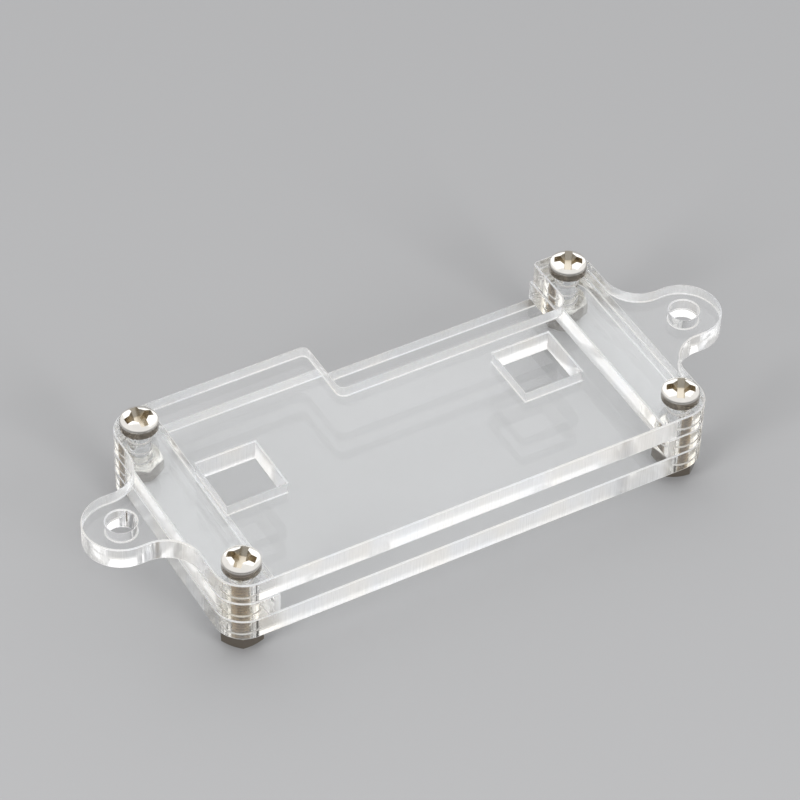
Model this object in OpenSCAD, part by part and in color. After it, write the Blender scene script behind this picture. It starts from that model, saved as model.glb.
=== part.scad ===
// Clear acrylic case for a small development board.
// Three laser-cut layers are clamped by a screw and a nut at each corner: a plain bottom plate,
// two spacer bars that hold the plates apart, and a top plate with a mounting lug at each end,
// two windows and a cut-out in its back edge. The board's bay is open at the front and the back.
// X runs along the case, Y from front to back and Z up. The case stands on its four screw tips,
// and the origin is on that surface, under the middle of the case.

/* [Plates] */
// Length of the plates, without the lugs
plate_len = 66; // [60:1:120]
// Depth of the plates, from front to back
plate_wid = 32.5; // [30:0.5:60]
// Thickness of the top plate
top_t = 3; // [2:0.5:5]
// Thickness of the spacers, which is the height of the board's bay
spacer_t = 3; // [2:0.5:10]
// Thickness of the bottom plate
bottom_t = 3; // [2:0.5:5]
// Radius of the plates' corners
corner_r = 3.75; // [1:0.25:4.5]

/* [Spacers] */
// Width of each spacer bar
spacer_wid = 6.6; // [6:0.1:9]

/* [Mounting lugs] */
// Distance of each lug's hole beyond the plate's end
lug_reach = 5.6; // [5:0.1:12]
// Radius of a lug's round end, which is half its width
lug_r = 4.7; // [3.5:0.1:6]
// Radius of the hollow curve where a lug grows out of the plate
lug_fillet = 4.5; // [1:0.1:4.8]
// Diameter of the hole in each lug
lug_hole_d = 3.7; // [2:0.1:5]

/* [Back cut-out of the top plate] */
// Distance of the cut-out from the plate's left end
cutout_from_left = 27.5; // [24:0.5:40]
// Width of the tab that stays round the back right screw
tab_wid = 6.4; // [6:0.1:12]
// Depth of the cut-out, from the plate's back edge
cutout_depth = 8.7; // [4:0.1:10]
// Radius of the cut-out's inner corner on the left
cutout_left_r = 1; // [0.3:0.1:3]
// Radius of the cut-out's inner corner beside the tab
cutout_right_r = 2; // [0.3:0.1:3]
// Radius of the outer corner at the cut-out's left side
step_r = 1; // [0.3:0.1:3]
// Radius of the tab's outer corner beside the cut-out
tab_r = 0.7; // [0.2:0.1:1.2]

/* [Windows of the top plate] */
// Size of each window along the case
window_len = 7.9; // [4:0.1:10]
// Size of each window from front to back
window_wid = 7.9; // [4:0.1:10]
// Distance of the left window's middle from the plate's left end
window_left_in = 10.3; // [10:0.1:20]
// Distance of the right window's middle from the plate's right end
window_right_in = 15.2; // [10:0.1:20]
// Distance of the windows' middle behind the plate's middle
window_back = 0.45; // [-2:0.05:1]

/* [Screws] */
// Distance of each screw from the plate's two edges
screw_in = 3.25; // [3:0.05:3.5]
// Outer diameter of the screw thread
screw_d = 2.5; // [2:0.1:3]
// Length of a screw under its head
screw_len = 12; // [12:1:20]
// Diameter of a screw's head
head_d = 4.7; // [4:0.1:5.5]
// Height of a screw's head
head_h = 2; // [1.7:0.1:3]
// Radius of the head's domed top
head_dome_r = 4; // [3.5:0.1:12]
// Radius of the head's upper rim
head_rim_r = 0.45; // [0.1:0.05:0.6]
// Size of the 45 degree chamfer on the screw's tip
tip_chamfer = 0.3; // [0.1:0.05:0.6]

/* [Cross recess of the screws] */
// Width of the recess across two arms, where it meets the dome
recess_d = 3.5; // [2.4:0.1:3.8]
// Width of the recess across two arms, at its floor
recess_floor_d = 2; // [1:0.1:2.4]
// Width of one arm
recess_arm = 1; // [0.5:0.05:1.2]
// Width of the four-sided flare between the arms, at the height of the head
recess_flare = 2.3; // [1.6:0.1:2.7]
// Depth of the recess
recess_depth = 1.3; // [0.6:0.1:1.5]

/* [Nuts] */
// Size of a nut across its flats
nut_af = 5; // [4.6:0.1:5.6]
// Height of a nut
nut_h = 2; // [1.2:0.1:3]
// How far a nut's two faces end inside its flats
nut_face_in = 0.1; // [0.05:0.05:0.3]
// Angle of the chamfer at the corners of a nut's two faces
nut_chamfer_deg = 30; // [15:1:45]

/* [Fits] */
// Room between a screw and the hole in a plate, on the diameter
hole_play = 0.3; // [0.1:0.05:0.8]
// Room between a screw and its nut, on the diameter
thread_play = 0.1; // [0.05:0.05:0.3]

/* [Hidden] */
$fn = 96;

// each corner's name, its side in X, its side in Y, and how far its screw and its nut are turned
CORNERS = [["front_left", -1, -1, 46, 6],
           ["back_left", -1, 1, -1, 27],
           ["front_right", 1, -1, 56, 40],
           ["back_right", 1, 1, 57, 15]];
CLEAR = [0.86, 0.90, 0.92, 0.45];
STEEL = [0.78, 0.77, 0.74];

// a cutting shape runs this far past the face that it cuts
past = 1;

stack_t = bottom_t + spacer_t + top_t;
// heights of the layers above the surface that the screw tips stand on
plates_z = screw_len - stack_t;
nut_z = plates_z - nut_h;
spacer_z = plates_z + bottom_t;
top_z = spacer_z + spacer_t;
head_z = top_z + top_t;

end_x = plate_len / 2;
back_y = plate_wid / 2;
screw_x = end_x - screw_in;
screw_y = back_y - screw_in;
hole_d = screw_d + hole_play;
lug_x = end_x + lug_reach;
cutout_x0 = -end_x + cutout_from_left;
cutout_x1 = end_x - tab_wid;
cutout_y = back_y - cutout_depth;

// The sharp piece of a right-angled corner that lies outside a round of radius r. The corner is
// at p, and its edges leave it along the unit directions u and v. Taken away from a sheet it
// rounds an outer corner, and added to a sheet it rounds an inner one.
module corner_piece(p, u, v, r) {
    difference() {
        polygon([p, p + r * u, p + r * (u + v), p + r * v]);
        translate(p + r * (u + v)) circle(r);
    }
}

module plate_outline() {
    square([plate_len - 2 * corner_r, plate_wid], center = true);
    square([plate_len, plate_wid - 2 * corner_r], center = true);
    for (x = [-1, 1], y = [-1, 1])
        translate([x * (end_x - corner_r), y * (back_y - corner_r)]) circle(corner_r);
}

module screw_holes() {
    for (c = CORNERS)
        translate([c[1] * screw_x, c[2] * screw_y]) circle(d = hole_d);
}

// the lug at one end with its hollow roots, side being -1 for the left and 1 for the right
module lug_outline(side) {
    translate([side * lug_x, 0]) circle(lug_r);
    translate([side * (end_x + lug_x - past) / 2, 0])
        square([lug_reach + past, 2 * lug_r], center = true);
    difference() {
        translate([side * (end_x + (lug_fillet - past) / 2), 0])
            square([lug_fillet + past, 2 * (lug_r + lug_fillet)], center = true);
        for (y = [-1, 1])
            translate([side * (end_x + lug_fillet), y * (lug_r + lug_fillet)]) circle(lug_fillet);
    }
}

module cutout() {
    difference() {
        translate([cutout_x0, cutout_y]) square([cutout_x1 - cutout_x0, cutout_depth + past]);
        corner_piece([cutout_x0, cutout_y], [1, 0], [0, 1], cutout_left_r);
        corner_piece([cutout_x1, cutout_y], [-1, 0], [0, 1], cutout_right_r);
    }
    corner_piece([cutout_x0, back_y], [-1, 0], [0, -1], step_r);
    corner_piece([cutout_x1, back_y], [1, 0], [0, -1], tab_r);
}

module windows() {
    for (x = [-end_x + window_left_in, end_x - window_right_in])
        translate([x, window_back]) square([window_len, window_wid], center = true);
}

module top_plate() {
    color(CLEAR) translate([0, 0, top_z]) linear_extrude(top_t)
        difference() {
            union() {
                plate_outline();
                lug_outline(-1);
                lug_outline(1);
            }
            cutout();
            windows();
            screw_holes();
            for (side = [-1, 1])
                translate([side * lug_x, 0]) circle(d = lug_hole_d);
        }
}

module bottom_plate() {
    color(CLEAR) translate([0, 0, plates_z]) linear_extrude(bottom_t)
        difference() {
            plate_outline();
            screw_holes();
        }
}

// the spacer at one end, cut to the plates' outline on its outer side
module spacer(side) {
    color(CLEAR) translate([0, 0, spacer_z]) linear_extrude(spacer_t)
        difference() {
            intersection() {
                plate_outline();
                translate([side * (end_x + past - (spacer_wid + past) / 2), 0])
                    square([spacer_wid + past, plate_wid + 2 * past], center = true);
            }
            screw_holes();
        }
}

// Half of the head's section. The dome meets the straight side in a rim of radius head_rim_r:
// the rim's circle touches the side, and it touches the dome from inside.
module head_section() {
    head_r = head_d / 2;
    dome_y = head_h - head_dome_r;
    rim_x = head_r - head_rim_r;
    rim_y = dome_y + sqrt(pow(head_dome_r - head_rim_r, 2) - pow(rim_x, 2));
    outward = [rim_x, rim_y - dome_y] / (head_dome_r - head_rim_r);
    touch = [rim_x, rim_y] + outward * (head_rim_r + past);
    difference() {
        intersection() {
            square([head_r, head_h]);
            translate([0, dome_y]) circle(head_dome_r);
        }
        difference() {
            polygon([[rim_x, rim_y], touch, [head_r + past, touch[1]], [head_r + past, rim_y]]);
            translate([rim_x, rim_y]) circle(head_rim_r);
        }
    }
}

module shank_section() {
    polygon([[0, -screw_len], [screw_d / 2 - tip_chamfer, -screw_len],
             [screw_d / 2, -screw_len + tip_chamfer], [screw_d / 2, 0], [0, 0]]);
}

// Four arms whose outer ends slope in towards the floor, and a four-sided flare between them that
// widens from the width of an arm at the floor.
module cross_recess() {
    mouth_r = recess_d / 2;
    mouth_h = recess_depth - head_dome_r + sqrt(pow(head_dome_r, 2) - pow(mouth_r, 2));
    slope = (mouth_r - recess_floor_d / 2) / mouth_h;
    cut_h = recess_depth + past;
    translate([0, 0, head_h - recess_depth]) {
        intersection() {
            for (turn = [0, 90])
                rotate(turn)
                    translate([-head_d / 2, -recess_arm / 2, 0]) cube([head_d, recess_arm, cut_h]);
            cylinder(d1 = recess_floor_d, r2 = recess_floor_d / 2 + slope * cut_h, h = cut_h);
        }
        intersection_for(turn = [45, 135])
            rotate([90, 0, turn])
                linear_extrude(head_d, center = true)
                    polygon([[-recess_arm / 2, 0], [recess_arm / 2, 0],
                             [recess_flare / 2, recess_depth], [-recess_flare / 2, recess_depth]]);
    }
}

module screw(corner) {
    color(STEEL) translate([corner[1] * screw_x, corner[2] * screw_y, head_z]) rotate(corner[3])
        difference() {
            rotate_extrude() {
                head_section();
                shank_section();
            }
            cross_recess();
        }
}

module nut(corner) {
    nut_r = nut_af / 2 / cos(30);
    face_r = nut_af / 2 - nut_face_in;
    chamfer_h = (nut_r - face_r) * tan(nut_chamfer_deg);
    color(STEEL) translate([corner[1] * screw_x, corner[2] * screw_y, nut_z]) rotate(corner[4])
        difference() {
            intersection() {
                cylinder(r = nut_r, h = nut_h, $fn = 6);
                rotate_extrude()
                    polygon([[0, 0], [face_r, 0], [nut_r, chamfer_h],
                             [nut_r, nut_h - chamfer_h], [face_r, nut_h], [0, nut_h]]);
            }
            translate([0, 0, -past]) cylinder(d = screw_d + thread_play, h = nut_h + 2 * past);
        }
}

top_plate();
bottom_plate();
spacer(-1);  // left_spacer
spacer(1);  // right_spacer
for (c = CORNERS) screw(c);
for (c = CORNERS) nut(c);
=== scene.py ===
"""Dresses the clear acrylic board case: laser-cut sheets, nickel-plated screws and nuts, and the stage."""

import math

import bpy
from bpy.props import FloatProperty, FloatVectorProperty, PointerProperty
from bpy.types import Operator, Panel, PropertyGroup
from mathutils import Matrix, Vector
from mathutils.geometry import tessellate_polygon


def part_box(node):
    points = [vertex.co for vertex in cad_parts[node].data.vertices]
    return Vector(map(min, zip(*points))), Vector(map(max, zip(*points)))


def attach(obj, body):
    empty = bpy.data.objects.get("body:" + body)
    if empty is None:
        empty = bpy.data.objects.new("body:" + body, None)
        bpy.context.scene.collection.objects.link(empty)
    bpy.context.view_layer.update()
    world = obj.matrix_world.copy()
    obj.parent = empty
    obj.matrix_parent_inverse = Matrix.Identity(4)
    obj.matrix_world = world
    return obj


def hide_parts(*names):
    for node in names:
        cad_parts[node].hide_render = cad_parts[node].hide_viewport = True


bl_info = {
    "name": "Clear Acrylic Board Case",
    "version": (1, 0, 0),
    "blender": (4, 5, 0),
    "location": "3D View > Sidebar > Board Case",
    "description": "Laser-cut acrylic case of clamped layers, with its screws, nuts and studio stage",
    "category": "Add Mesh",
}

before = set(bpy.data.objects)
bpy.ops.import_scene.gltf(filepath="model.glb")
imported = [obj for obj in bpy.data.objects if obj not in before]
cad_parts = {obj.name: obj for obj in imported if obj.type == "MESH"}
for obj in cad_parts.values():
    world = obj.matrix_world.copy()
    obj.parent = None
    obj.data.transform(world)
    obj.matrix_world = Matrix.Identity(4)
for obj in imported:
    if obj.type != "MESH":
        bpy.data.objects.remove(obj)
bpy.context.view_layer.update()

MM = 0.001
BODY = "root"
# each corner's name and its side in X and in Y
CORNERS = (("front_left", -1, -1), ("back_left", -1, 1), ("front_right", 1, -1), ("back_right", 1, 1))


def extent(node):
    """Size of a CAD node along the three axes."""
    low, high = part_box(node)
    return high - low


def length(name, description, default, **limits):
    """A size in metres."""
    return FloatProperty(name=name, description=description, default=default, min=0.0, precision=5,
                         subtype="DISTANCE", unit="LENGTH", **limits)


def angle(name, description, degrees):
    """An angle that is given in degrees and shown as an angle."""
    return FloatProperty(name=name, description=description, default=math.radians(degrees),
                         subtype="ANGLE", unit="ROTATION")


def share(name, description, default, high=1.0):
    """A plain number from nought up to a limit."""
    return FloatProperty(name=name, description=description, default=default, min=0.0, max=high)


def colour(name, description, default):
    """A colour in scene linear light."""
    return FloatVectorProperty(name=name, description=description, default=default, min=0.0, max=1.0,
                               size=3, subtype="COLOR")


class SheetSizes(PropertyGroup):
    """Outlines of the laser-cut layers."""
    plate_length: length("Plate Length", "Length of the plates without the lugs",
                         extent("bottom_plate").x)
    plate_depth: length("Plate Depth", "Depth of the plates from front to back",
                        extent("bottom_plate").y)
    corner_radius: length("Corner Radius", "Radius of the plates' corners", 3.75 * MM)
    spacer_width: length("Spacer Width", "Width of the bar between the plates at each end",
                         extent("left_spacer").x)
    lug_reach: length("Lug Reach", "Distance of a lug's hole beyond the plate's end", 5.6 * MM)
    lug_radius: length("Lug Radius", "Radius of a lug's round end", 4.7 * MM)
    lug_root_radius: length("Lug Root Radius", "Radius of the hollow curve at a lug's root", 4.5 * MM)
    lug_hole: length("Lug Hole", "Diameter of the hole in each lug", 3.7 * MM)
    screw_inset: length("Screw Inset", "Distance of each screw from the plate's edges", 3.25 * MM)
    screw_hole: length("Screw Hole", "Diameter of the screw holes", 2.8 * MM)
    cutout_left: length("Cut-out Start", "Distance of the cut-out from the plate's left end", 27.5 * MM)
    cutout_depth: length("Cut-out Depth", "Depth of the cut-out from the back edge", 8.7 * MM)
    tab_width: length("Tab Width", "Width of the tab round the back right screw", 6.4 * MM)
    step_radius: length("Step Radius", "Radius of the cut-out's outer left corner", 1.0 * MM)
    cutout_left_radius: length("Left Inner Radius", "Radius of the cut-out's inner left corner", 1.0 * MM)
    cutout_right_radius: length("Right Inner Radius", "Radius of the cut-out's inner right corner",
                                2.0 * MM)
    tab_radius: length("Tab Radius", "Radius of the tab's outer corner", 0.7 * MM)
    window_size: length("Window Size", "Side of the two square windows", 7.9 * MM)
    window_left: length("Left Window", "Distance of its middle from the plate's left end", 10.3 * MM)
    window_right: length("Right Window", "Distance of its middle from the plate's right end", 15.2 * MM)
    window_back: length("Window Offset", "Distance of the windows behind the middle", 0.45 * MM)
    arris: length("Arris", "Radius that the cut edges are melted to", 0.16 * MM)
    air_gap: length("Air Gap", "Half of the air film between two clamped layers", 0.01 * MM)


class ScrewSizes(PropertyGroup):
    """Round-head screws with a cross recess."""
    thread_diameter: length("Thread Diameter", "Outer diameter of the thread", 2.5 * MM)
    thread_pitch: length("Thread Pitch", "Distance between two turns of the thread", 0.45 * MM)
    thread_depth: length("Thread Depth", "Height of the thread's ridge", 0.25 * MM)
    thread_length: length("Thread Length", "Length of the screw under its head", 12.0 * MM)
    tip_chamfer: length("Tip Chamfer", "Chamfer at the screw's tip", 0.3 * MM)
    head_diameter: length("Head Diameter", "Diameter of the head", extent("screw_front_left").x)
    head_height: length("Head Height", "Height of the head", 2.0 * MM)
    dome_radius: length("Dome Radius", "Radius of the head's domed top", 4.0 * MM)
    rim_radius: length("Rim Radius", "Radius of the head's rounded rim", 0.45 * MM)
    foot_radius: length("Foot Radius", "Radius of the head's lower edge", 0.16 * MM)
    recess_width: length("Recess Width", "Width of the recess across two arms", 3.5 * MM)
    recess_floor: length("Recess Floor", "Width of the recess at its floor", 2.0 * MM)
    recess_arm: length("Recess Arm", "Width of one arm", 1.0 * MM)
    recess_depth: length("Recess Depth", "Depth of the recess", 1.3 * MM)
    recess_flare: length("Recess Flare", "Width of the flare between the arms", 2.34 * MM)
    turn_front_left: angle("Front Left Turn", "Turn of the front left screw", 46)
    turn_back_left: angle("Back Left Turn", "Turn of the back left screw", -1)
    turn_front_right: angle("Front Right Turn", "Turn of the front right screw", 56)
    turn_back_right: angle("Back Right Turn", "Turn of the back right screw", 57)


class NutSizes(PropertyGroup):
    """Hexagon nuts under the bottom plate."""
    across_flats: length("Across Flats", "Width of the nut across its flats", 5.0 * MM)
    height: length("Height", "Height of the nut", extent("nut_front_left").z)
    bore: length("Bore", "Diameter of the nut's bore", 2.6 * MM)
    face_inset: length("Face Inset", "How far the flat faces end inside the flats", 0.1 * MM)
    chamfer_angle: angle("Chamfer Angle", "Angle of the chamfer at the nut's corners", 30)
    countersink: length("Countersink", "Width of the chamfer at the bore's mouths", 0.2 * MM)
    turn_front_left: angle("Front Left Turn", "Turn of the front left nut", 6)
    turn_back_left: angle("Back Left Turn", "Turn of the back left nut", 27)
    turn_front_right: angle("Front Right Turn", "Turn of the front right nut", 40)
    turn_back_right: angle("Back Right Turn", "Turn of the back right nut", 15)


class CaseFinish(PropertyGroup):
    """Finishes of the acrylic and of the metal."""
    sheet_colour: colour("Sheet Colour", "Tint of the clear sheet", (0.988, 0.992, 0.992))
    edge_cream: colour("Edge Cream", "Warm patches of the cut edges", (0.985, 0.965, 0.93))
    edge_cool: colour("Edge Cool", "Cool patches of the cut edges", (0.95, 0.96, 0.975))
    # painted reflection: the patches round the screws carry the thread's colour
    corner_painted_thread_colour: colour("Corner Painted Thread Colour", "Warm patches round the screws", (0.97, 0.905, 0.77))
    corner_cool: colour("Corner Cool", "Cool patches round the screws", (0.96, 0.955, 0.935))
    edge_streak: length("Edge Streak", "Distance between the laser's streaks", 0.16 * MM)
    edge_frost: share("Edge Frost", "How frosted the outer cut edges are", 0.34)
    # painted glow: extra white frost on the front edges stands in for light carried in the sheet
    front_painted_glow: share("Front Painted Glow", "How frosted the front edges are", 0.60)
    corner_frost: share("Corner Frost", "How frosted the cut edges are round the screws", 0.12)
    bore_frost: share("Bore Frost", "How frosted the walls of the holes are", 0.01)
    # painted highlight: the rims' near-white frost stands in for bright lines along the arrises
    rim_painted_highlight: share("Rim Painted Highlight", "How frosted the fine rims of the cut edges are", 0.92)
    nickel: colour("Nickel", "Colour of the nickel plating", (0.88, 0.85, 0.80))
    # painted shade: the recess is given a darker tan than the head
    recess_shaded_nickel: colour("Recess Nickel", "Colour of the plating in the recess", (0.64, 0.58, 0.48))
    # painted reflection and shade: the thread is given a dark brown tone
    thread_shaded_nickel: colour("Thread Nickel", "Colour of the plating on the thread", (0.36, 0.28, 0.19))
    nut_nickel: colour("Nut Nickel", "Colour of the nuts' plating", (0.92, 0.89, 0.83))


class StageSettings(PropertyGroup):
    """Floor, lamps and camera."""
    floor_colour: colour("Floor Colour", "Colour of the pale floor", (0.425, 0.425, 0.43))
    sky_light: share("Sky Light", "How strongly the white room lights the case", 0.60, 10.0)
    room_shade: share("Room Shade", "Strength of the room's dim side in front", 0.3)
    left_power: share("Left Power", "Power of the lamp on the left, in watts", 2.2, 100.0)
    front_power: share("Front Power", "Power of the lamp in front, in watts", 2.2, 100.0)
    back_power: share("Back Power", "Power of the large lamp behind, in watts", 2.1, 100.0)
    camera_azimuth: angle("Camera Azimuth", "Heading of the view, from +Y towards +X", 30.89)
    camera_elevation: angle("Camera Elevation", "How far the camera looks down", 43.79)
    camera_roll: angle("Camera Roll", "Turn of the camera about its view", 2.0)
    camera_distance: length("Camera Distance", "Distance from the camera to its target", 460.70 * MM)
    camera_lens: FloatProperty(name="Camera Lens", description="Focal length on a 36 mm sensor",
                               default=170.74, min=1.0, subtype="DISTANCE_CAMERA")
    camera_target: FloatVectorProperty(name="Camera Target", description="Point that the camera looks at",
                                       default=(2.233 * MM, 6.479 * MM, 7.5 * MM), size=3,
                                       subtype="TRANSLATION", unit="LENGTH", precision=5)


# Node trees

def put(tree, kind, inputs=None, **settings):
    """Adds a node, sets its settings, and sets or links the inputs given by name or number."""
    node = tree.nodes.new(kind)
    for name, value in settings.items():
        setattr(node, name, value)
    for key, value in (inputs or {}).items():
        if isinstance(value, Num):
            value = value.socket
        if isinstance(value, bpy.types.NodeSocket):
            tree.links.new(value, node.inputs[key])
        else:
            node.inputs[key].default_value = value
    return node


class Num:
    """A number in a node tree, so that sums on it read as ordinary arithmetic."""

    def __init__(self, socket):
        self.socket = socket
        self.tree = socket.id_data

    def maths(self, operation, *others, clamp=False):
        inputs = dict(enumerate((self,) + others))
        return Num(put(self.tree, "ShaderNodeMath", inputs, operation=operation, use_clamp=clamp).outputs[0])

    def __add__(self, other):
        return self.maths("ADD", other)

    def __sub__(self, other):
        return self.maths("SUBTRACT", other)

    def __mul__(self, other):
        return self.maths("MULTIPLY", other)

    def __truediv__(self, other):
        return self.maths("DIVIDE", other)

    def clamped(self):
        return self.maths("ADD", 0.0, clamp=True)

    def if_over(self, limit, yes, no):
        """yes where this number is over the limit, and no elsewhere."""
        over = self.maths("GREATER_THAN", limit)
        return over * (yes - no) + no


def vector(tree, x=0.0, y=0.0, z=0.0):
    """A vector socket from three numbers."""
    return put(tree, "ShaderNodeCombineXYZ", {"X": x, "Y": y, "Z": z}).outputs[0]


def start_tree(name, sizes):
    """A geometry tree with one input for each named size, and the dictionary of those inputs."""
    tree = bpy.data.node_groups.new(name, "GeometryNodeTree")
    tree.interface.new_socket("Geometry", in_out="INPUT", socket_type="NodeSocketGeometry")
    for label, kind in sizes:
        tree.interface.new_socket(label, in_out="INPUT", socket_type=kind)
    tree.interface.new_socket("Geometry", in_out="OUTPUT", socket_type="NodeSocketGeometry")
    given = put(tree, "NodeGroupInput")
    inputs = {}
    for label, kind in sizes:
        socket = given.outputs[label]
        inputs[label] = Num(socket) if kind == "NodeSocketFloat" else socket
    return tree, inputs


def revolve_grid(tree, around, along):
    """A grid to be rolled into a closed surface: its mesh, the angle round the axis, the share of the
    way along from nought to one, and a number that is nought on the first and last rows only."""
    grid = put(tree, "GeometryNodeMeshGrid", {"Vertices X": around + 1, "Vertices Y": along})
    split = put(tree, "ShaderNodeSeparateXYZ", {0: grid.outputs["UV Map"]})
    turn = Num(split.outputs["X"]) * (2 * math.pi)
    end = 1.0 / (along - 3)
    raw = Num(split.outputs["Y"]) * (1 + 2 * end) - end
    inner = raw.maths("GREATER_THAN", -end / 2) * raw.maths("LESS_THAN", 1 + end / 2)
    return grid.outputs["Mesh"], turn, raw.clamped(), inner


def roll_up(tree, mesh, turn, radius, height):
    """Moves a grid onto a surface round the Z axis and closes its seam and its two poles."""
    place = vector(tree, radius * turn.maths("COSINE"), radius * turn.maths("SINE"), height)
    rolled = put(tree, "GeometryNodeSetPosition", {"Geometry": mesh, "Position": place})
    merged = put(tree, "GeometryNodeMergeByDistance", {"Geometry": rolled.outputs[0], "Distance": 1e-7})
    return merged.outputs[0]


def boolean(tree, operation, first, *others):
    """A union, difference or intersection of closed meshes."""
    node = put(tree, "GeometryNodeMeshBoolean", operation=operation, solver="EXACT")
    if operation == "DIFFERENCE":
        tree.links.new(first, node.inputs["Mesh 1"])
    else:
        others = (first,) + others
    for mesh in others:
        tree.links.new(mesh, node.inputs["Mesh 2"])
    return node.outputs["Mesh"]


def place_and_finish(tree, mesh, place, turn, material, others=None):
    """Puts the mesh at its place and turn, and gives it its materials: the others go on the faces that
    are marked with their names."""
    point = put(tree, "GeometryNodePoints", {"Position": place})
    spot = put(tree, "GeometryNodeInstanceOnPoints", {
        "Points": point.outputs[0], "Instance": mesh, "Rotation": vector(tree, 0.0, 0.0, turn)})
    real = put(tree, "GeometryNodeRealizeInstances", {0: spot.outputs[0]})
    done = put(tree, "GeometryNodeSetMaterial", {"Geometry": real.outputs[0], "Material": material})
    for name, other in (others or {}).items():
        chosen = put(tree, "GeometryNodeInputNamedAttribute", {"Name": name}, data_type="BOOLEAN")
        done = put(tree, "GeometryNodeSetMaterial", {
            "Geometry": done.outputs[0], "Selection": chosen.outputs["Attribute"], "Material": other})
    put(tree, "NodeGroupOutput", {0: done.outputs[0]})


def mark(tree, mesh, name):
    """The mesh with its faces marked with a name, for a finish of their own."""
    marked = put(tree, "GeometryNodeStoreNamedAttribute", {
        0: mesh, "Name": name, "Value": True}, data_type="BOOLEAN", domain="FACE")
    return marked.outputs[0]


SCREW_INPUTS = (
    ("Thread Diameter", "NodeSocketFloat"), ("Thread Pitch", "NodeSocketFloat"),
    ("Thread Depth", "NodeSocketFloat"), ("Thread Length", "NodeSocketFloat"),
    ("Tip Chamfer", "NodeSocketFloat"), ("Head Diameter", "NodeSocketFloat"),
    ("Head Height", "NodeSocketFloat"), ("Dome Radius", "NodeSocketFloat"),
    ("Rim Radius", "NodeSocketFloat"), ("Foot Radius", "NodeSocketFloat"),
    ("Seat Gap", "NodeSocketFloat"), ("Recess Width", "NodeSocketFloat"),
    ("Recess Floor", "NodeSocketFloat"), ("Recess Arm", "NodeSocketFloat"),
    ("Recess Depth", "NodeSocketFloat"), ("Recess Flare", "NodeSocketFloat"),
    ("Place", "NodeSocketVector"), ("Turn", "NodeSocketFloat"),
    ("Plating", "NodeSocketMaterial"), ("Recess Shaded Plating", "NodeSocketMaterial"),
    ("Thread Shaded Plating", "NodeSocketMaterial"))


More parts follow.
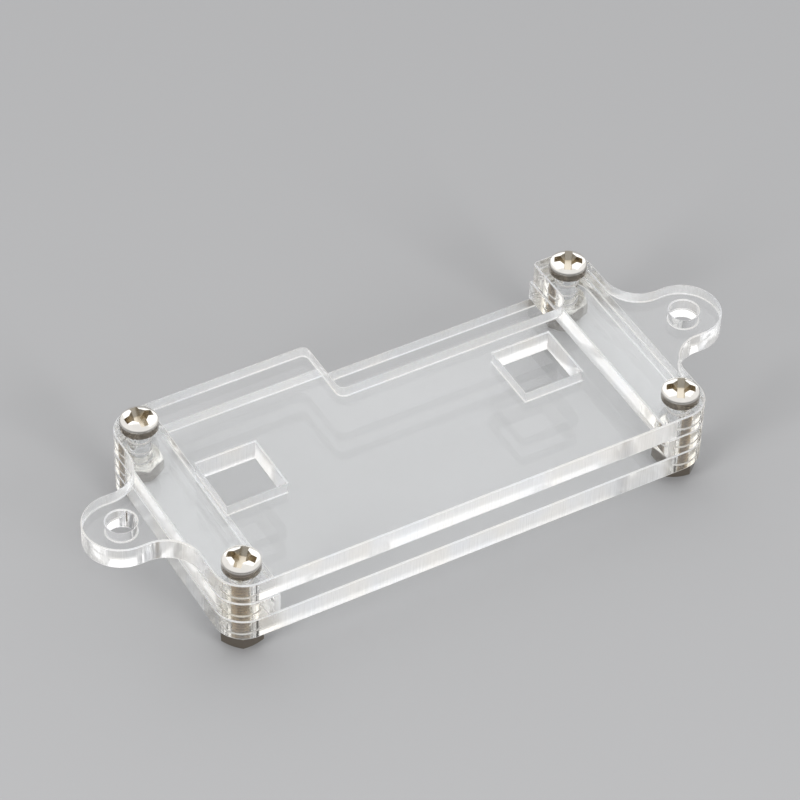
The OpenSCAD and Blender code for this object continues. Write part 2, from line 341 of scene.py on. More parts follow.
def screw_tree():
    """A round-head screw: a rolled helix thread, a domed head and a cross recess cut into it."""
    tree, size = start_tree("Round head screw", SCREW_INPUTS)

    # the thread: each row's radius follows a ridge that climbs one pitch in each turn
    mesh, turn, along, inner = revolve_grid(tree, 40, 300)
    inside_head = size["Recess Depth"] * 0.3
    height = along * (size["Thread Length"] + inside_head) - size["Thread Length"]
    wave = (height / size["Thread Pitch"] - turn / (2 * math.pi)).maths("FRACT")
    ridge = (((wave - 0.5).maths("ABSOLUTE") * 2 - 0.25) / 0.6).clamped()
    outer = size["Thread Diameter"] / 2
    radius = outer - size["Thread Depth"] * (ridge * -1 + 1)
    tip = outer - size["Tip Chamfer"] + height + size["Thread Length"]
    thread = roll_up(tree, mesh, turn, radius.maths("MINIMUM", tip) * inner, height)
    thread = mark(tree, thread, "thread")

    # the head: a flat underside, a straight side, a rounded rim and a dome
    mesh, turn, along, inner = revolve_grid(tree, 72, 60)
    head_radius = size["Head Diameter"] / 2
    dome, rim = size["Dome Radius"], size["Rim Radius"]
    rim_x = head_radius - rim
    dome_z = size["Head Height"] - dome
    rim_z = dome_z + ((dome - rim) * (dome - rim) - rim_x * rim_x).maths("SQRT")
    meet = (rim_z - dome_z).maths("ARCTAN2", rim_x)
    lean = ((along * 1.25 - 0.25) * (math.pi / 2)).maths("MAXIMUM", 0.0)
    cosine, sine = lean.maths("COSINE"), lean.maths("SINE")
    round_x = (lean - meet).if_over(0.0, dome * cosine, rim_x + rim * cosine)
    round_z = (lean - meet).if_over(0.0, dome_z + dome * sine, rim_z + rim * sine)
    foot, seat = size["Foot Radius"], size["Seat Gap"]
    bend = (along * 10.0).clamped() * (math.pi / 2)
    side = (along * 10.0 - 1.0).clamped()
    foot_x = foot * (bend.maths("SINE") * -1 + 1)
    foot_z = (foot - foot * bend.maths("COSINE") + seat) * (side * -1 + 1)
    head = roll_up(tree, mesh, turn, (round_x - foot_x) * inner, round_z * side + foot_z)

    # the recess: two tapered arms and a four-sided flare between them
    mouth = size["Recess Width"] / 2
    mouth_z = dome_z + (dome * dome - mouth * mouth).maths("SQRT")
    floor_z = size["Head Height"] - size["Recess Depth"]
    floor = size["Recess Floor"] / 2
    reach = size["Recess Depth"] * 1.5
    top = floor + (mouth - floor) / (mouth_z - floor_z) * reach
    cutters = []
    cube = put(tree, "GeometryNodeMeshCube", {"Size": (1.0, 1.0, 1.0)})
    corner = put(tree, "ShaderNodeSeparateXYZ", {0: put(tree, "GeometryNodeInputPosition").outputs[0]})
    up = Num(corner.outputs["Z"]) + 0.5
    arm = put(tree, "GeometryNodeSetPosition", {"Geometry": cube.outputs[0], "Position": vector(
        tree,
        Num(corner.outputs["X"]) * 2 * (floor + (top - floor) * up),
        Num(corner.outputs["Y"]) * size["Recess Arm"] * (up * 0.3 + 0.8),
        floor_z + up * reach)})
    cutters.append(arm.outputs[0])
    crossed = put(tree, "GeometryNodeTransform", {0: arm.outputs[0], "Rotation": (0.0, 0.0, math.pi / 2)})
    cutters.append(crossed.outputs[0])
    spread = (size["Recess Flare"] - size["Recess Arm"]) * (reach / size["Recess Depth"])
    wide = size["Recess Arm"] + spread * up
    flare = put(tree, "GeometryNodeSetPosition", {"Geometry": cube.outputs[0], "Position": vector(
        tree, Num(corner.outputs["X"]) * wide, Num(corner.outputs["Y"]) * wide, floor_z * 1.02 + up * reach)})
    turned = put(tree, "GeometryNodeTransform", {0: flare.outputs[0], "Rotation": (0.0, 0.0, math.pi / 4)})
    cutters.append(turned.outputs[0])
    cut_head = boolean(tree, "DIFFERENCE", head, *[mark(tree, cutter, "recess") for cutter in cutters])
    whole = boolean(tree, "UNION", cut_head, thread)
    place_and_finish(tree, whole, size["Place"], size["Turn"], size["Plating"],
                     {"recess": size["Recess Shaded Plating"], "thread": size["Thread Shaded Plating"]})
    return tree


NUT_INPUTS = (
    ("Across Flats", "NodeSocketFloat"), ("Height", "NodeSocketFloat"), ("Bore", "NodeSocketFloat"),
    ("Face Inset", "NodeSocketFloat"), ("Chamfer Angle", "NodeSocketFloat"),
    ("Countersink", "NodeSocketFloat"), ("Place", "NodeSocketVector"), ("Turn", "NodeSocketFloat"),
    ("Plating", "NodeSocketMaterial"))


def nut_tree():
    """A hexagon nut: a six-sided bar, turned down at its corners, bored and countersunk."""
    tree, size = start_tree("Hexagon nut", NUT_INPUTS)
    corner_radius = size["Across Flats"] / (2 * math.cos(math.pi / 6))
    face_radius = size["Across Flats"] / 2 - size["Face Inset"]
    bar = put(tree, "GeometryNodeMeshCylinder", {
        "Vertices": 6, "Radius": corner_radius, "Depth": size["Height"]}).outputs[0]
    grow = size["Height"] / size["Chamfer Angle"].maths("TANGENT")
    bore = size["Bore"] / 2
    sink = bore + size["Countersink"]
    turned, cutters = [], []
    for up in (1, -1):
        lathe = put(tree, "GeometryNodeMeshCone", {
            "Vertices": 96, "Depth": size["Height"],
            "Radius Top": face_radius + (0 if up > 0 else grow),
            "Radius Bottom": face_radius + (grow if up > 0 else 0)})
        turned.append(put(tree, "GeometryNodeTransform", {
            0: lathe.outputs[0], "Translation": vector(tree, 0.0, 0.0, size["Height"] * -0.5)}).outputs[0])
        cone = put(tree, "GeometryNodeMeshCone", {
            "Vertices": 64, "Depth": size["Countersink"] * 4,
            "Radius Top": sink + (size["Countersink"] * 2 if up > 0 else size["Countersink"] * -2),
            "Radius Bottom": sink + (size["Countersink"] * -2 if up > 0 else size["Countersink"] * 2)})
        cutters.append(put(tree, "GeometryNodeTransform", {
            0: cone.outputs[0],
            "Translation": vector(tree, 0.0, 0.0, size["Height"] * (0.5 * up) - size["Countersink"] * 2)
        }).outputs[0])
    cutters.append(put(tree, "GeometryNodeMeshCylinder", {
        "Vertices": 64, "Radius": bore, "Depth": size["Height"] * 2}).outputs[0])
    hexagon = boolean(tree, "INTERSECT", bar, *turned)
    bored = boolean(tree, "DIFFERENCE", hexagon, *cutters)
    place_and_finish(tree, bored, size["Place"], size["Turn"], size["Plating"])
    return tree


def grow_piece(name, tree, values):
    """Runs a geometry tree with the given input values, and returns its result as a plain mesh object."""
    holder = bpy.data.objects.new(name + "_maker", bpy.data.meshes.new(name + "_maker"))
    bpy.context.scene.collection.objects.link(holder)
    modifier = holder.modifiers.new("Maker", "NODES")
    modifier.node_group = tree
    for item in tree.interface.items_tree:
        if item.in_out == "INPUT" and item.name in values:
            modifier[item.identifier] = values[item.name]
    bpy.context.view_layer.update()
    graph = bpy.context.evaluated_depsgraph_get()
    mesh = bpy.data.meshes.new_from_object(holder.evaluated_get(graph))
    holder.modifiers.remove(modifier)
    bpy.data.objects.remove(holder)
    if not mesh.polygons:
        raise RuntimeError(name + " came out empty")
    mesh.name = name
    piece = bpy.data.objects.new(name, mesh)
    bpy.context.scene.collection.objects.link(piece)
    return piece


def seat_piece(piece, node, crease):
    """The piece stands for its CAD node, which it hides, and is hung on the body. Edges that bend more than
    the crease, in degrees, stay sharp."""
    mesh = piece.data
    mesh.polygons.foreach_set("use_smooth", [True] * len(mesh.polygons))
    mesh.set_sharp_from_angle(angle=math.radians(crease))
    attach(piece, BODY)
    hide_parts(node)


# Laser-cut sheets

def rounded(corners, step=math.radians(4)):
    """Points of a closed outline. Each corner is x, y and the radius that it is rounded to."""
    points = []
    count = len(corners)
    for i, (x, y, radius) in enumerate(corners):
        here = Vector((x, y))
        before = (Vector(corners[i - 1][:2]) - here).normalized()
        after = (Vector(corners[(i + 1) % count][:2]) - here).normalized()
        if radius == 0:
            points.append(here)
            continue
        half = before.angle(after) / 2
        centre = here + (before + after).normalized() * (radius / math.sin(half))
        start = here + before * (radius / math.tan(half)) - centre
        sweep = start.angle_signed(here + after * (radius / math.tan(half)) - centre)
        pieces = max(2, math.ceil(abs(sweep) / step))
        for k in range(pieces + 1):
            point = centre + Matrix.Rotation(-sweep * k / pieces, 2) @ start
            if not points or (point - points[-1]).length > 1e-7:
                points.append(point)
    if (points[0] - points[-1]).length < 1e-7:
        points.pop()
    return points


class Bore(list):
    """The outline of a hole whose wall is clearer than the sheet's outer edges."""


def hole(x, y, diameter, steps=64):
    """Points of a round hole, which runs clockwise so that the sheet lies on its left."""
    return Bore([Vector((x, y)) + diameter / 2 * Vector((math.cos(a), -math.sin(a)))
                 for a in (2 * math.pi * k / steps for k in range(steps))])


def inset(points, distance):
    """The outline moved into the sheet, which lies on its left."""
    moved = []
    for i, here in enumerate(points):
        before = (here - points[i - 1]).normalized()
        after = (points[(i + 1) % len(points)] - here).normalized()
        along = (before + after).normalized()
        left = Vector((-along.y, along.x))
        moved.append(here + left * (distance / max(0.3, along.dot(after))))
    return moved


def cut_sheet(name, outlines, low, high, arris, materials):
    """A closed sheet from low to high with its outlines cut through it. The first outline is the outer
    one. The materials are for the flat faces, the cut edges, their fine rims and the walls of bores.
    The cuts have a map of the distance along them and of the height."""
    vertices, faces, kinds, maps = [], [], [], []
    soft = arris * (1 - math.sqrt(0.5))
    levels = ((low, arris), (low + soft, soft), (low + arris, 0.0),
              (high - arris, 0.0), (high - soft, soft), (high, arris))
    caps = []
    for points in outlines:
        count = len(points)
        starts = []
        for z, distance in levels:
            starts.append(len(vertices))
            ring = inset(points, distance) if distance else points
            vertices += [(p.x, p.y, z) for p in ring]
        caps.append((points, starts))
        wall = 3 if isinstance(points, Bore) else 1
        gone = [0.0]
        for i in range(count):
            gone.append(gone[-1] + (points[(i + 1) % count] - points[i]).length)
        for level in range(5):
            for i in range(count):
                j = (i + 1) % count
                below, above = starts[level], starts[level + 1]
                faces.append((below + i, below + j, above + j, above + i))
                kinds.append(wall if level == 2 else 2)
                bottom, top = levels[level][0], levels[level + 1][0]
                maps.append(((gone[i], bottom), (gone[i + 1], bottom), (gone[i + 1], top), (gone[i], top)))
    for level, upward in ((0, False), (5, True)):
        rings, numbers = [], []
        for points, starts in caps:
            first = starts[level]
            rings.append([Vector(vertices[first + i]) for i in range(len(points))])
            numbers += range(first, first + len(points))
        for triangle in tessellate_polygon(rings):
            a, b, c = (numbers[i] for i in triangle)
            pa, pb, pc = (Vector(vertices[i]) for i in (a, b, c))
            if ((pb - pa).cross(pc - pa).z > 0) != upward:
                b, c = c, b
            faces.append((a, b, c))
            kinds.append(0)
            maps.append(tuple(vertices[i][:2] for i in (a, b, c)))
    mesh = bpy.data.meshes.new(name)
    mesh.from_pydata(vertices, [], faces)
    for material in materials:
        mesh.materials.append(material)
    mesh.polygons.foreach_set("material_index", kinds)
    layer = mesh.uv_layers.new(name="cut_map")
    layer.data.foreach_set("uv", [value for face in maps for corner in face for value in corner])
    mesh.update()
    piece = bpy.data.objects.new(name, mesh)
    bpy.context.scene.collection.objects.link(piece)
    return piece


def screw_places(sizes):
    """Each corner's name and the X and Y of its screw."""
    x = sizes.plate_length / 2 - sizes.screw_inset
    y = sizes.plate_depth / 2 - sizes.screw_inset
    return {name: (x * side, y * end) for name, side, end in CORNERS}


def screw_holes(sizes, ends=(-1, 1)):
    """Outlines of the screw holes at the given ends of the case."""
    return [hole(x, y, sizes.screw_hole) for x, y in screw_places(sizes).values()
            if math.copysign(1, x) in ends]


def layer_heights(node, sizes, below, above):
    """Lowest and highest Z of a layer, less the air film where another layer lies on it."""
    low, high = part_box(node)
    return low.z + sizes.air_gap * below, high.z - sizes.air_gap * above


# Materials

def start_material(name):
    """An empty material, its tree, and its output node."""
    material = bpy.data.materials.new(name)
    material.use_nodes = True
    tree = material.node_tree
    tree.nodes.clear()
    return material, tree, put(tree, "ShaderNodeOutputMaterial")


def lamp_window(tree, shader, let_through):
    """The shader, with light for the surfaces around let through it unbent, so that the sheet throws the
    pale shadow of clear acrylic."""
    clear = put(tree, "ShaderNodeBsdfTransparent", {"Color": (*let_through, 1.0)}).outputs[0]
    path = put(tree, "ShaderNodeLightPath")
    for kind in ("Is Diffuse Ray", "Is Shadow Ray"):
        shader = put(tree, "ShaderNodeMixShader", {0: path.outputs[kind], 1: shader, 2: clear}).outputs[0]
    return shader


def made_once(name, maker):
    """The material of that name, made the first time that it is asked for."""
    found = bpy.data.materials.get(name)
    return found if found else maker(name)


def polished_sheet(name):
    """The sheet's flat faces: clear and glossy, with a few specks of dust and faint hairlines."""
    finish = bpy.context.scene.case_finish
    material, tree, output = start_material(name)
    where = put(tree, "ShaderNodeTexCoord").outputs["Object"]
    specks = put(tree, "ShaderNodeTexVoronoi", {"Vector": where, "Scale": 420.0, "Randomness": 1.0})
    size = put(tree, "ShaderNodeSeparateColor", {0: specks.outputs["Color"]})
    few = put(tree, "ShaderNodeMath", {0: size.outputs[0], 1: 0.93}, operation="GREATER_THAN")
    small = put(tree, "ShaderNodeMath", {0: specks.outputs["Distance"], 1: 0.035}, operation="LESS_THAN")
    dust = put(tree, "ShaderNodeMath", {0: few.outputs[0], 1: small.outputs[0]}, operation="MULTIPLY")
    faint = put(tree, "ShaderNodeMath", {0: dust.outputs[0], 1: 0.45}, operation="MULTIPLY")
    drawn = put(tree, "ShaderNodeMapping", {
        "Vector": where, "Rotation": (0.0, 0.0, 0.5), "Scale": (60.0, 1500.0, 60.0)})
    scratches = put(tree, "ShaderNodeTexNoise", {"Vector": drawn.outputs[0], "Scale": 1.0, "Detail": 2.0})
    dull_gloss_and_painted_shade = put(tree, "ShaderNodeMapRange", {
        "Value": scratches.outputs["Fac"], "From Min": 0.62, "From Max": 0.8, "To Min": 0.0, "To Max": 0.05})
    glass = put(tree, "ShaderNodeBsdfPrincipled", {
        "Base Color": (*finish.sheet_colour, 1.0), "Roughness": dull_gloss_and_painted_shade.outputs[0], "IOR": 1.49,
        "Transmission Weight": 1.0})
    white = put(tree, "ShaderNodeBsdfDiffuse", {"Color": (0.9, 0.9, 0.88, 1.0)})
    dusty = put(tree, "ShaderNodeMixShader", {0: faint.outputs[0], 1: glass.outputs[0], 2: white.outputs[0]})
    tree.links.new(lamp_window(tree, dusty.outputs[0], (0.985, 0.987, 0.988)), output.inputs["Surface"])
    return material


def cut_surface(name, frosting, painted_glow_in_front, by_screws, roughness, uneven, painted_tint=1.0):
    """A cut through the sheet: upright streaks of clear glass and of white frost, in warm and cool patches.
    The frost shines on both of its sides, as a frosted edge does. It has values of its own along the front
    edge, where extra white frost is a painted glow, and round the screws, where the cut is also smoother and,
    by its painted tint, carries a painted reflection of the thread's colour."""
    finish = bpy.context.scene.case_finish
    material, tree, output = start_material(name)
    cut = put(tree, "ShaderNodeUVMap", uv_map="cut_map").outputs[0]
    streak = 1.0 / finish.edge_streak
    fine = put(tree, "ShaderNodeMapping", {"Vector": cut, "Scale": (streak, streak * 0.03, 1.0)})
    streaks = put(tree, "ShaderNodeTexNoise", {
        "Vector": fine.outputs[0], "Scale": 1.0, "Detail": 3.0, "Roughness": 0.6})
    wide = put(tree, "ShaderNodeMapping", {"Vector": cut, "Scale": (180.0, 110.0, 1.0)})
    patches = put(tree, "ShaderNodeTexNoise", {"Vector": wide.outputs[0], "Scale": 1.0, "Detail": 2.0})
    away = screw_distance(tree)
    # painted reflection: round the screws the patches turn to the thread's colour
    painted_thread_patches = patch_colours(tree, patches, finish.corner_cool, finish.corner_painted_thread_colour)
    plain = patch_colours(tree, patches, finish.edge_cool, finish.edge_cream)
    apart = put(tree, "ShaderNodeMapRange", {
        "Value": away, "From Min": 3.4 * MM, "From Max": 5.0 * MM, "To Min": 1.0 - painted_tint})
    tint = put(tree, "ShaderNodeMix", {0: apart.outputs[0], 6: painted_thread_patches, 7: plain}, data_type="RGBA").outputs[2]
    rough = put(tree, "ShaderNodeMapRange", {
        "Value": away, "From Min": 3.6 * MM, "From Max": 5.2 * MM,
        "To Min": roughness * 0.2, "To Max": roughness})
    varied = put(tree, "ShaderNodeMapRange", {
        "Value": streaks.outputs["Fac"], "From Min": 0.3, "From Max": 0.7, "To Min": 0.6, "To Max": 1.4})
    gloss = put(tree, "ShaderNodeMath", {0: rough.outputs[0], 1: varied.outputs[0]}, operation="MULTIPLY")
    where = put(tree, "ShaderNodeTexCoord").outputs["Object"]
    depth = put(tree, "ShaderNodeSeparateXYZ", {0: where}).outputs["Y"]
    front = -bpy.context.scene.sheet_sizes.plate_depth / 2
    # painted glow: the front edge gets extra white frost
    along = put(tree, "ShaderNodeMapRange", {
        "Value": depth, "From Min": front, "From Max": front + 1.2 * MM,
        "To Min": painted_glow_in_front, "To Max": frosting}, interpolation_type="SMOOTHSTEP")
    local = put(tree, "ShaderNodeMapRange", {
        "Value": away, "From Min": 3.6 * MM, "From Max": 5.2 * MM,
        "To Min": by_screws, "To Max": along.outputs[0]}, interpolation_type="SMOOTHSTEP")
    change = put(tree, "ShaderNodeMapRange", {
        "Value": streaks.outputs["Fac"], "From Min": 0.3, "From Max": 0.7,
        "To Min": -uneven, "To Max": uneven})
    frost = put(tree, "ShaderNodeMath", {0: local.outputs[0], 1: change.outputs[0]}, use_clamp=True)
    bump = put(tree, "ShaderNodeBump", {
        "Height": streaks.outputs["Fac"], "Strength": 0.12, "Distance": 0.00003})
    glass = put(tree, "ShaderNodeBsdfPrincipled", {
        "Base Color": tint, "Roughness": gloss.outputs[0], "IOR": 1.49,
        "Transmission Weight": 1.0, "Normal": bump.outputs[0]})
    outside = put(tree, "ShaderNodeBsdfDiffuse", {"Color": tint})
    inside = put(tree, "ShaderNodeBsdfTranslucent", {"Color": tint})
    white = put(tree, "ShaderNodeMixShader", {0: 0.4, 1: outside.outputs[0], 2: inside.outputs[0]})
    both = put(tree, "ShaderNodeMixShader", {0: frost.outputs[0], 1: glass.outputs[0], 2: white.outputs[0]})
    tree.links.new(lamp_window(tree, both.outputs[0], (0.80, 0.80, 0.79)), output.inputs["Surface"])
    return material


def patch_colours(tree, patches, low, high):
    """Two colours that meet softly half way up a pattern."""
    ramp = put(tree, "ShaderNodeValToRGB", {0: patches.outputs["Fac"]})
    for step, place, tone in zip(ramp.color_ramp.elements, (0.38, 0.62), (low, high)):
        step.position = place
        step.color = (*tone, 1.0)
    return ramp.outputs[0]


def screw_distance(tree):
    """Distance from the axis of the nearest screw."""
    sizes = bpy.context.scene.sheet_sizes
    x, y = screw_places(sizes)["back_right"]
    where = put(tree, "ShaderNodeTexCoord").outputs["Object"]
    quarter = put(tree, "ShaderNodeVectorMath", {0: where}, operation="ABSOLUTE")
    apart = put(tree, "ShaderNodeVectorMath", {0: quarter.outputs[0], 1: (x, y, 0.0)}, operation="SUBTRACT")
    level = put(tree, "ShaderNodeVectorMath", {0: apart.outputs[0], 1: (1.0, 1.0, 0.0)}, operation="MULTIPLY")
    return put(tree, "ShaderNodeVectorMath", {0: level.outputs[0]}, operation="LENGTH").outputs["Value"]


def plated(name, tone, roughness, foot=None, painted_shade_share=0.30):
    """Nickel plating: a slightly uneven colour and gloss over a fine orange peel. A foot is the height below
    which the plating's colour is darkened and browned to the given share of its tone: a painted dark
    reflection and shade, as at the sides of the heads and the nuts."""
    material, tree, output = start_material(name)
    where = put(tree, "ShaderNodeTexCoord").outputs["Object"]
    cloud = put(tree, "ShaderNodeTexNoise", {"Vector": where, "Scale": 900.0, "Detail": 3.0})
    shade = put(tree, "ShaderNodeMix", {
        0: cloud.outputs["Fac"], 6: (*[c * 0.86 for c in tone], 1.0), 7: (*tone, 1.0)}, data_type="RGBA")
    tinted = shade.outputs[2]
    if foot is not None:
        height = put(tree, "ShaderNodeSeparateXYZ", {0: where}).outputs["Z"]
        rise = put(tree, "ShaderNodeMapRange", {
            "Value": height, "From Min": foot, "From Max": foot + 0.35 * MM}, interpolation_type="SMOOTHSTEP")
        # painted shade: below the foot the tone is darkened and browned to stand in for a dark reflection and
        # shade
        dull_gloss_and_painted_shade = (*[c * painted_shade_share * painted_tint for c, painted_tint in zip(tone, (1.0, 0.9, 0.8))], 1.0)
        tinted = put(tree, "ShaderNodeMix", {0: rise.outputs[0], 6: dull_gloss_and_painted_shade, 7: tinted},
                     data_type="RGBA").outputs[2]
    gloss = put(tree, "ShaderNodeMapRange", {
        "Value": cloud.outputs["Fac"], "From Min": 0.3, "From Max": 0.7,
        "To Min": roughness * 0.7, "To Max": roughness * 1.4})
    grain = put(tree, "ShaderNodeTexNoise", {"Vector": where, "Scale": 6000.0, "Detail": 2.0})
    bump = put(tree, "ShaderNodeBump", {
        "Height": grain.outputs["Fac"], "Strength": 0.12, "Distance": 0.00001})
    metal = put(tree, "ShaderNodeBsdfPrincipled", {
        "Base Color": tinted, "Metallic": 1.0, "Roughness": gloss.outputs[0],
        "Normal": bump.outputs[0]})
    tree.links.new(metal.outputs[0], output.inputs["Surface"])
    return material


def acrylic():
    """The finishes of a laser-cut sheet: its faces, its cut edges, their rims and its bores."""
    finish = bpy.context.scene.case_finish
    return (made_once("polished_acrylic", polished_sheet),
            made_once("laser_cut_edge", lambda name: cut_surface(
                name, finish.edge_frost, finish.front_painted_glow, finish.corner_frost, 0.10, 0.06)),
            # the rims' near-white frost is a painted highlight along the arrises
            made_once("melted_rim", lambda name: cut_surface(
                name, finish.rim_painted_highlight, finish.rim_painted_highlight, finish.rim_painted_highlight, 0.2, 0.05, 0.0)),
            made_once("laser_cut_bore", lambda name: cut_surface(
                name, finish.bore_frost, finish.bore_frost, finish.bore_frost, 0.02, 0.01)))


# Operators

class MakeTopPlate(Operator):
    """Cut the top plate with its lugs, its windows and its back cut-out"""
    bl_idname = "board_case.make_top_plate"
    bl_label = "Make Top Plate"

    def execute(self, context):
        s = context.scene.sheet_sizes
        end, back = s.plate_length / 2, s.plate_depth / 2
        lug_end = end + s.lug_reach + s.lug_radius
        left, right = s.cutout_left - end, end - s.tab_width
        inner = back - s.cutout_depth
        outer = [(-end, -back, s.corner_radius), (end, -back, s.corner_radius),
                 (end, -s.lug_radius, s.lug_root_radius), (lug_end, -s.lug_radius, s.lug_radius),
                 (lug_end, s.lug_radius, s.lug_radius), (end, s.lug_radius, s.lug_root_radius),
                 (end, back, s.corner_radius), (right, back, s.tab_radius),
                 (right, inner, s.cutout_right_radius), (left, inner, s.cutout_left_radius),
                 (left, back, s.step_radius), (-end, back, s.corner_radius),
                 (-end, s.lug_radius, s.lug_root_radius), (-lug_end, s.lug_radius, s.lug_radius),
                 (-lug_end, -s.lug_radius, s.lug_radius), (-end, -s.lug_radius, s.lug_root_radius)]
        outlines = [rounded(outer)] + screw_holes(s)
        half = s.window_size / 2
        for x in (s.window_left - end, end - s.window_right):
            outlines.append([Vector((x + half * a, s.window_back + half * b))
                             for a, b in ((-1, -1), (-1, 1), (1, 1), (1, -1))])
        for side in (-1, 1):
            outlines.append(hole(side * (end + s.lug_reach), 0.0, s.lug_hole))
        low, high = layer_heights("top_plate", s, 1, 0)
        piece = cut_sheet("clear_top_plate", outlines, low, high, s.arris, acrylic())
        seat_piece(piece, "top_plate", 15)
        return {"FINISHED"}


def plain_outline(s):
    """The rounded rectangle that all the layers share."""
    end, back = s.plate_length / 2, s.plate_depth / 2
    return [(-end, -back, s.corner_radius), (end, -back, s.corner_radius),
            (end, back, s.corner_radius), (-end, back, s.corner_radius)]


class MakeBottomPlate(Operator):
    """Cut the plain bottom plate"""
    bl_idname = "board_case.make_bottom_plate"
    bl_label = "Make Bottom Plate"

    def execute(self, context):
        s = context.scene.sheet_sizes
        outlines = [rounded(plain_outline(s))] + screw_holes(s)
        low, high = layer_heights("bottom_plate", s, 0, 1)
        piece = cut_sheet("clear_bottom_plate", outlines, low, high, s.arris, acrylic())
        seat_piece(piece, "bottom_plate", 15)
        return {"FINISHED"}


class MakeSpacers(Operator):
    """Cut the bar that holds the plates apart at each end"""
    bl_idname = "board_case.make_spacers"
    bl_label = "Make Spacers"

    def execute(self, context):
        s = context.scene.sheet_sizes
        end, back = s.plate_length / 2, s.plate_depth / 2
        inner = end - s.spacer_width
        for name, side in (("left_spacer", -1), ("right_spacer", 1)):
            corners = [(inner * side, -back, 0.0), (end * side, -back, s.corner_radius),
                       (end * side, back, s.corner_radius), (inner * side, back, 0.0)]
            if side < 0:
                corners.reverse()
            low, high = layer_heights(name, s, 1, 1)
            piece = cut_sheet("clear_" + name, [rounded(corners)] + screw_holes(s, (side,)), low, high,
                              s.arris, acrylic())
            seat_piece(piece, name, 15)
        return {"FINISHED"}


class MakeScrews(Operator):
    """Make the four corner screws"""
    bl_idname = "board_case.make_screws"
    bl_label = "Make Screws"

    def execute(self, context):
        s = context.scene.screw_sizes
        finish = context.scene.case_finish
        under_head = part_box("top_plate")[1].z
        # the head's side below this height is darkened as a painted dark reflection and shade
        plating = made_once("nickel_plating", lambda name: plated(
            name, finish.nickel, 0.12, under_head + 0.9 * MM))
        # the recess is a darker tan: painted shade in the recess
        recess = made_once("recess_shaded_plating", lambda name: plated(name, finish.recess_shaded_nickel, 0.24))
        # the thread is dark brown: a painted dark reflection and shade on the shank
        thread = made_once("thread_shaded_plating", lambda name: plated(name, finish.thread_shaded_nickel, 0.18))
        tree = screw_tree()
        for name, (x, y) in screw_places(context.scene.sheet_sizes).items():
            node = "screw_" + name
            piece = grow_piece("nickel_" + node, tree, {
                "Thread Diameter": s.thread_diameter, "Thread Pitch": s.thread_pitch,
                "Thread Depth": s.thread_depth, "Thread Length": s.thread_length,
                "Tip Chamfer": s.tip_chamfer, "Head Diameter": s.head_diameter,
                "Head Height": s.head_height, "Dome Radius": s.dome_radius, "Rim Radius": s.rim_radius,
                "Foot Radius": s.foot_radius, "Seat Gap": context.scene.sheet_sizes.air_gap,
                "Recess Width": s.recess_width, "Recess Floor": s.recess_floor,
                "Recess Arm": s.recess_arm, "Recess Depth": s.recess_depth,
                "Recess Flare": s.recess_flare, "Place": (x, y, under_head),
                "Turn": getattr(s, "turn_" + name), "Plating": plating, "Recess Shaded Plating": recess,
                "Thread Shaded Plating": thread})
            seat_piece(piece, node, 26)
        return {"FINISHED"}


class MakeNuts(Operator):
    """Make the four hexagon nuts"""
    bl_idname = "board_case.make_nuts"
    bl_label = "Make Nuts"

    def execute(self, context):
        s = context.scene.nut_sizes
        finish = context.scene.case_finish
        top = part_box("bottom_plate")[0].z
        # the nuts' sides below this height are darkened as a painted dark reflection and shade
        plating = made_once("nut_plating", lambda name: plated(
            name, finish.nut_nickel, 0.20, top - 0.4 * MM, 0.27))
        tree = nut_tree()
        for name, (x, y) in screw_places(context.scene.sheet_sizes).items():
            node = "nut_" + name
            low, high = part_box(node)
            gap = context.scene.sheet_sizes.air_gap
            piece = grow_piece("nickel_" + node, tree, {
                "Across Flats": s.across_flats, "Height": s.height, "Bore": s.bore,
                "Face Inset": s.face_inset, "Chamfer Angle": s.chamfer_angle,
                "Countersink": s.countersink, "Place": (x, y, (low.z + high.z) / 2 - gap),
                "Turn": getattr(s, "turn_" + name), "Plating": plating})
            seat_piece(piece, node, 26)
        return {"FINISHED"}


def aim(thing, target):
    """Turns a lamp towards a point."""
    thing.rotation_euler = (Vector(target) - thing.location).to_track_quat("-Z", "Y").to_euler()


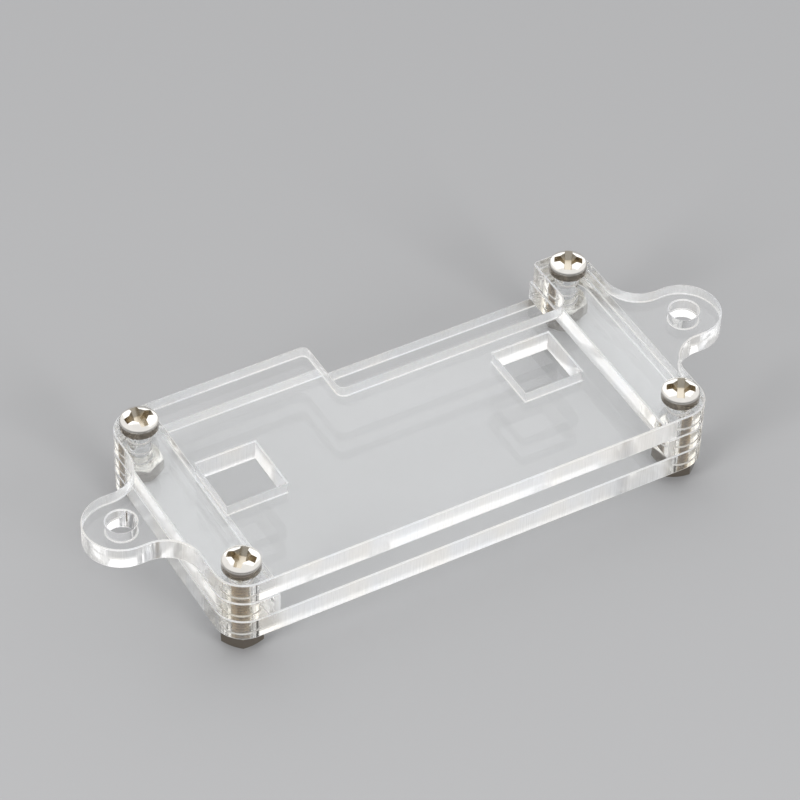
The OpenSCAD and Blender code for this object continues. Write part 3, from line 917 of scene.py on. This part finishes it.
class SetStage(Operator):
    """Set up the pale floor, the soft lamps and the camera"""
    bl_idname = "board_case.set_stage"
    bl_label = "Set Stage"

    def execute(self, context):
        scene = context.scene
        s = scene.stage_settings
        scene.view_settings.view_transform = "Standard"

        mesh = bpy.data.meshes.new("pale_floor")
        half = 3.0
        mesh.from_pydata([(-half, -half, 0), (half, -half, 0), (half, half, 0), (-half, half, 0)], [],
                         [(0, 1, 2, 3)])
        floor = bpy.data.objects.new("pale_floor", mesh)
        scene.collection.objects.link(floor)
        material, tree, output = start_material("pale_floor")
        matte = put(tree, "ShaderNodeBsdfPrincipled", {
            "Base Color": (*s.floor_colour, 1.0), "Roughness": 0.8, "Specular IOR Level": 0.2})
        clear = put(tree, "ShaderNodeBsdfTransparent")
        side = put(tree, "ShaderNodeNewGeometry").outputs["Backfacing"]
        one_sided = put(tree, "ShaderNodeMixShader", {0: side, 1: matte.outputs[0], 2: clear.outputs[0]})
        tree.links.new(one_sided.outputs[0], output.inputs["Surface"])
        mesh.materials.append(material)

        world = bpy.data.worlds.new("soft_room")
        world.use_nodes = True
        tree = world.node_tree
        tree.nodes.clear()
        direction = put(tree, "ShaderNodeTexCoord").outputs["Generated"]
        towards = put(tree, "ShaderNodeVectorMath", {0: direction, 1: (0.256, 0.429, 0.866)},
                      operation="DOT_PRODUCT")
        walls = put(tree, "ShaderNodeMapRange", {
            "Value": towards.outputs["Value"], "From Min": -0.15, "From Max": 0.55,
            "To Min": s.room_shade, "To Max": 1.0}, interpolation_type="SMOOTHSTEP")
        path = put(tree, "ShaderNodeLightPath")
        mirrored = put(tree, "ShaderNodeMath", {
            0: path.outputs["Is Glossy Ray"], 1: path.outputs["Is Transmission Ray"]})
        seen = put(tree, "ShaderNodeMath", {
            0: mirrored.outputs[0], 1: path.outputs["Is Camera Ray"]}, use_clamp=True)
        level = put(tree, "ShaderNodeMapRange", {
            "Value": seen.outputs[0], "To Min": s.sky_light, "To Max": 1.0})
        strength = put(tree, "ShaderNodeMath", {0: walls.outputs[0], 1: level.outputs[0]},
                       operation="MULTIPLY")
        sky = put(tree, "ShaderNodeBackground", {
            "Color": (0.985, 0.99, 1.0, 1.0), "Strength": strength.outputs[0]})
        output = put(tree, "ShaderNodeOutputWorld", {"Surface": sky.outputs[0]})
        world.cycles.sampling_method = "NONE"
        scene.world = world

        for name, place, width, power in (
                ("left_lamp", (-0.56, -0.14, 0.27), 0.24, s.left_power),
                ("front_lamp", (0.10, -0.57, 0.27), 0.24, s.front_power),
                ("back_lamp", (0.24, 0.40, 0.46), 1.10, s.back_power)):
            lamp = bpy.data.lights.new(name, "AREA")
            lamp.shape = "SQUARE"
            lamp.size = width
            lamp.energy = power
            holder = bpy.data.objects.new(name, lamp)
            holder.location = place
            aim(holder, (0, 0, 0.006))
            # the metal and the sheets mirror the even white room and the wide lamp, not the small lamps
            holder.visible_camera = False
            holder.visible_glossy = width > 1.0
            holder.visible_transmission = width > 1.0
            scene.collection.objects.link(holder)

        ahead = Vector((math.sin(s.camera_azimuth) * math.cos(s.camera_elevation),
                        math.cos(s.camera_azimuth) * math.cos(s.camera_elevation),
                        -math.sin(s.camera_elevation)))
        right = Vector((math.cos(s.camera_azimuth), -math.sin(s.camera_azimuth), 0))
        up = right.cross(ahead)
        rolled = right * math.cos(s.camera_roll) + up * math.sin(s.camera_roll)
        upright = up * math.cos(s.camera_roll) - right * math.sin(s.camera_roll)
        data = bpy.data.cameras.new("case_camera")
        data.sensor_width = 36.0
        data.lens = s.camera_lens
        data.clip_start = 0.01
        data.clip_end = 20.0
        camera = bpy.data.objects.new("case_camera", data)
        turn = Matrix((rolled, upright, -ahead)).transposed().to_4x4()
        place = Matrix.Translation(Vector(s.camera_target) - ahead * s.camera_distance)
        camera.matrix_world = place @ turn
        scene.collection.objects.link(camera)
        scene.camera = camera
        scene.cycles.max_bounces = 24
        scene.cycles.transmission_bounces = 24
        scene.cycles.glossy_bounces = 12
        return {"FINISHED"}


OPERATORS = (MakeTopPlate, MakeBottomPlate, MakeSpacers, MakeScrews, MakeNuts, SetStage)


class BoardCasePanel(Panel):
    """Lists the steps that make the board case"""
    bl_idname = "VIEW3D_PT_board_case"
    bl_label = "Board Case"
    bl_space_type = "VIEW_3D"
    bl_region_type = "UI"
    bl_category = "Board Case"

    def draw(self, context):
        for operator in OPERATORS:
            self.layout.operator(operator.bl_idname)
        for group in GROUPS:
            box = self.layout.box()
            box.label(text=group.__doc__)
            settings = getattr(context.scene, GROUPS[group])
            for name in group.__annotations__:
                box.prop(settings, name)


GROUPS = {SheetSizes: "sheet_sizes", ScrewSizes: "screw_sizes", NutSizes: "nut_sizes",
          CaseFinish: "case_finish", StageSettings: "stage_settings"}
CLASSES = (*GROUPS, *OPERATORS, BoardCasePanel)


def register():
    """Registers the classes and puts the settings on the scene."""
    for cls in CLASSES:
        bpy.utils.register_class(cls)
    for group, name in GROUPS.items():
        setattr(bpy.types.Scene, name, PointerProperty(type=group))


def unregister():
    """Takes the settings and the classes away again."""
    for name in GROUPS.values():
        delattr(bpy.types.Scene, name)
    for cls in reversed(CLASSES):
        bpy.utils.unregister_class(cls)


def main():
    """Makes every piece and the stage."""
    register()
    bpy.ops.board_case.make_top_plate()
    bpy.ops.board_case.make_bottom_plate()
    bpy.ops.board_case.make_spacers()
    bpy.ops.board_case.make_screws()
    bpy.ops.board_case.make_nuts()
    bpy.ops.board_case.set_stage()


if __name__ == "__main__":
    main()
